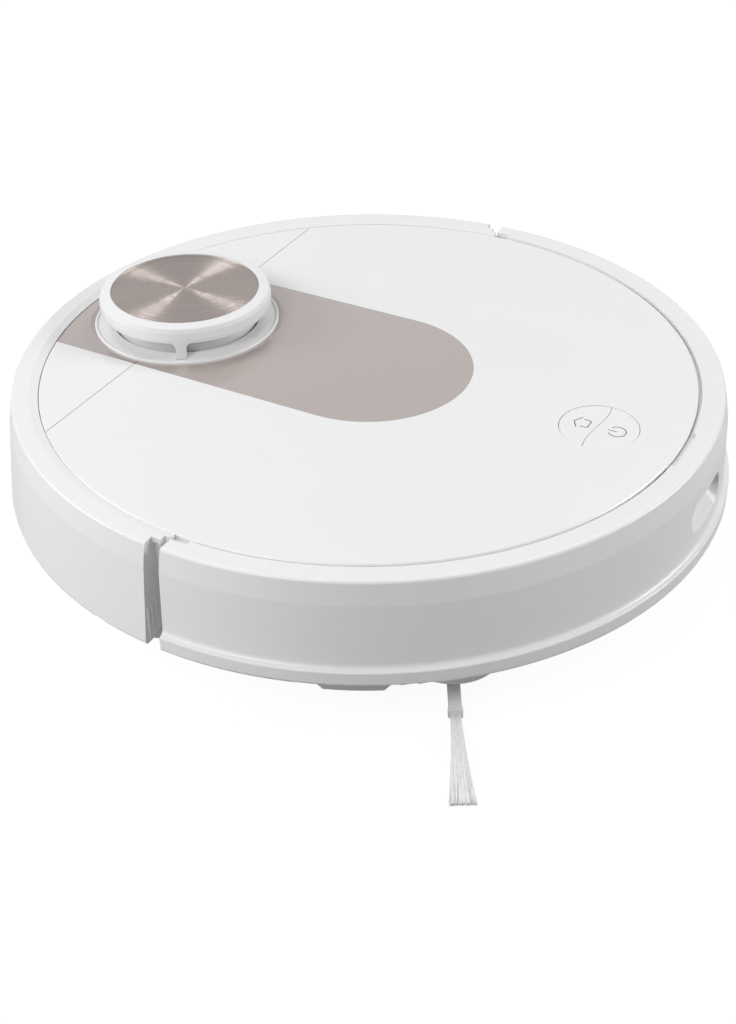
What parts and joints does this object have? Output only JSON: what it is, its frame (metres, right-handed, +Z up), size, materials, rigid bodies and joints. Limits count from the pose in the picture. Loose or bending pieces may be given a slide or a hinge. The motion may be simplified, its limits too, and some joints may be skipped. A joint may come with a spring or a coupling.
{
  "type": "robot vacuum",
  "caption": "Round floor-cleaning robot with a laser turret, a sprung front bumper, side brushes, a main brush, sprung drive wheels, a caster and a draw-out dust bin.",
  "frame": {"origin": "on the floor, under the middle of the round body", "axes": "+Z up; -Y the way the robot drives, with the bumper and the caster; +Y the turret and the dust bin; +X the robot's left"},
  "size_m": [0.3537, 0.3498, 0.0944],
  "materials": {
    "shell_white": "satin white moulding",
    "accent_taupe": "polished taupe strip",
    "turret_disc": "spun, lightly anodised",
    "rotor_grey": "fine matt",
    "chassis_white": "fine texture",
    "black_plastic": "fine texture",
    "window_black": "polished infrared window",
    "lens_dark": "coated lens",
    "gear_grey": "moulded",
    "steel": "plain",
    "contact_nickel": "nickel plated, brushed",
    "motor_can": "zinc plated",
    "tyre_rubber": "matt rubber",
    "belt_rubber": "matt rubber",
    "brush_core": "moulded",
    "brush_fin": "bristle and rubber rows",
    "bristle_white": "nylon strands",
    "board_green": "solder mask",
    "battery_wrap": "lithium cells in shrink film",
    "filter_paper": "pleated paper",
    "caster_plastic": "hard moulding"
  },
  "bodies": {
    "body": {"chassis": "chassis_white", "upper_shell": "shell_white", "front_cover": "shell_white", "rear_cover": "shell_white", "accent_strip": "accent_taupe", "lidar_skirt": "shell_white", "lidar_cage": "shell_white", "lidar_disc": "turret_disc", "lidar_base": "gear_grey", "lidar_bearing": "steel", "lidar_motor": "motor_can", "lidar_belt": "belt_rubber", "main_board": "board_green", "battery_pack": "battery_wrap", "battery_door": "chassis_white", "case_screws": "steel", "fan_housing": "gear_grey", "brush_motor": "gear_grey", "brush_housing": "gear_grey", "bin_bay": "chassis_white", "bushes": "gear_grey", "charging_contacts": "contact_nickel", "cliff_sensors": "chassis_white", "bumper_switches": "black_plastic", "bumper_springs": "steel", "side_brush_motors": "gear_grey"},
    "bumper": {"bumper": "shell_white", "dock_window": "window_black"},
    "home_button": {"home_button": "shell_white"},
    "power_button": {"power_button": "shell_white"},
    "lidar_rotor": {"lidar_rotor": "rotor_grey", "lidar_lenses": "lens_dark"},
    "lidar_pulley": {"lidar_pulley": "gear_grey"},
    "caster": {"caster_fork": "caster_plastic", "caster_axle": "steel"},
    "caster_wheel": {"caster_wheel": "caster_plastic"},
    "main_brush": {"main_brush": "brush_core", "main_brush_fins": "brush_fin"},
    "brush_guard": {"brush_guard": "caster_plastic"},
    "dust_bin": {"dust_bin": "shell_white", "bin_lid": "shell_white", "bin_filter": "filter_paper"},
    "bin_release": {"bin_release": "rotor_grey"},
    "fan_impeller": {"fan_impeller": "black_plastic"},
    "side_brush_right": {"side_brush_hub_right": "chassis_white", "side_brush_bristles_right": "bristle_white", "side_brush_screw_right": "steel"},
    "suspension_right": {"drive_gearbox_right": "gear_grey", "drive_motor_right": "motor_can", "suspension_spring_right": "steel"},
    "drive_wheel_right": {"wheel_hub_right": "gear_grey", "tyre_right": "tyre_rubber"},
    "side_brush_left": {"side_brush_hub_left": "chassis_white", "side_brush_bristles_left": "bristle_white", "side_brush_screw_left": "steel"},
    "suspension_left": {"drive_gearbox_left": "gear_grey", "drive_motor_left": "motor_can", "suspension_spring_left": "steel"},
    "drive_wheel_left": {"wheel_hub_left": "gear_grey", "tyre_left": "tyre_rubber"}
  },
  "joints": [
    {"name": "bumper_press", "type": "slide", "parent": "body", "child": "bumper", "axis": [0, 1, 0], "range_m": [0, 0.0014], "stiffness_N_per_m": 400, "springref_m": -0.004, "deforming": ["bumper_springs"]},
    {"name": "home_press", "type": "slide", "parent": "body", "child": "home_button", "axis": [0, 0, -1], "range_m": [0, 0.0008], "stiffness_N_per_m": 1000, "springref_m": -0.0005},
    {"name": "power_press", "type": "slide", "parent": "body", "child": "power_button", "axis": [0, 0, -1], "range_m": [0, 0.0008], "stiffness_N_per_m": 1000, "springref_m": -0.0005},
    {"name": "lidar_spin", "type": "hinge", "parent": "body", "child": "lidar_rotor", "pos_m": [0, 0.104, 0.07], "axis": [0, 0, 1], "continuous": true},
    {"name": "lidar_pulley_spin", "type": "hinge", "parent": "body", "child": "lidar_pulley", "pos_m": [0, 0.057, 0.0674], "axis": [0, 0, 1], "continuous": true},
    {"name": "caster_swivel", "type": "hinge", "parent": "body", "child": "caster", "pos_m": [0, -0.126, 0.035], "axis": [0, 0, 1], "continuous": true},
    {"name": "caster_roll", "type": "hinge", "parent": "caster", "child": "caster_wheel", "pos_m": [0, -0.122, 0.013], "axis": [1, 0, 0], "continuous": true},
    {"name": "main_brush_spin", "type": "hinge", "parent": "body", "child": "main_brush", "pos_m": [0, -0.03, 0.028], "axis": [1, 0, 0], "continuous": true},
    {"name": "brush_guard_release", "type": "slide", "parent": "body", "child": "brush_guard", "axis": [0, 0, -1], "range_m": [0, 0.03]},
    {"name": "dust_bin_slide", "type": "slide", "parent": "body", "child": "dust_bin", "axis": [0, 1, 0], "range_m": [0, 0.15]},
    {"name": "bin_release_press", "type": "slide", "parent": "dust_bin", "child": "bin_release", "axis": [0, -1, 0], "range_m": [0, 0.002], "stiffness_N_per_m": 600, "springref_m": -0.002},
    {"name": "fan_spin", "type": "hinge", "parent": "body", "child": "fan_impeller", "pos_m": [0.0914, 0.0924, 0.03], "axis": [0, 0, 1], "continuous": true},
    {"name": "side_brush_spin_right", "type": "hinge", "parent": "body", "child": "side_brush_right", "pos_m": [-0.10399, -0.09596, 0.012], "axis": [0, 0, 1], "continuous": true},
    {"name": "suspension_right", "type": "hinge", "parent": "body", "child": "suspension_right", "pos_m": [-0.118, 0.054, 0.018], "axis": [1, 0, 0], "range_deg": [0, 25], "stiffness_Nm_per_rad": 0.25, "springref_deg": 80.21, "deforming": ["suspension_spring_right"]},
    {"name": "drive_wheel_spin_right", "type": "hinge", "parent": "suspension_right", "child": "drive_wheel_right", "pos_m": [-0.118, 0.003, 0.034], "axis": [1, 0, 0], "continuous": true},
    {"name": "side_brush_spin_left", "type": "hinge", "parent": "body", "child": "side_brush_left", "pos_m": [0.10399, -0.09596, 0.012], "axis": [0, 0, 1], "continuous": true},
    {"name": "suspension_left", "type": "hinge", "parent": "body", "child": "suspension_left", "pos_m": [0.118, 0.054, 0.018], "axis": [1, 0, 0], "range_deg": [0, 25], "stiffness_Nm_per_rad": 0.25, "springref_deg": 80.21, "deforming": ["suspension_spring_left"]},
    {"name": "drive_wheel_spin_left", "type": "hinge", "parent": "suspension_left", "child": "drive_wheel_left", "pos_m": [0.118, 0.003, 0.034], "axis": [1, 0, 0], "continuous": true}
  ],
  "couplings": [
    {"joint": "lidar_pulley_spin", "follows": "lidar_spin", "ratio": 6}
  ]
}
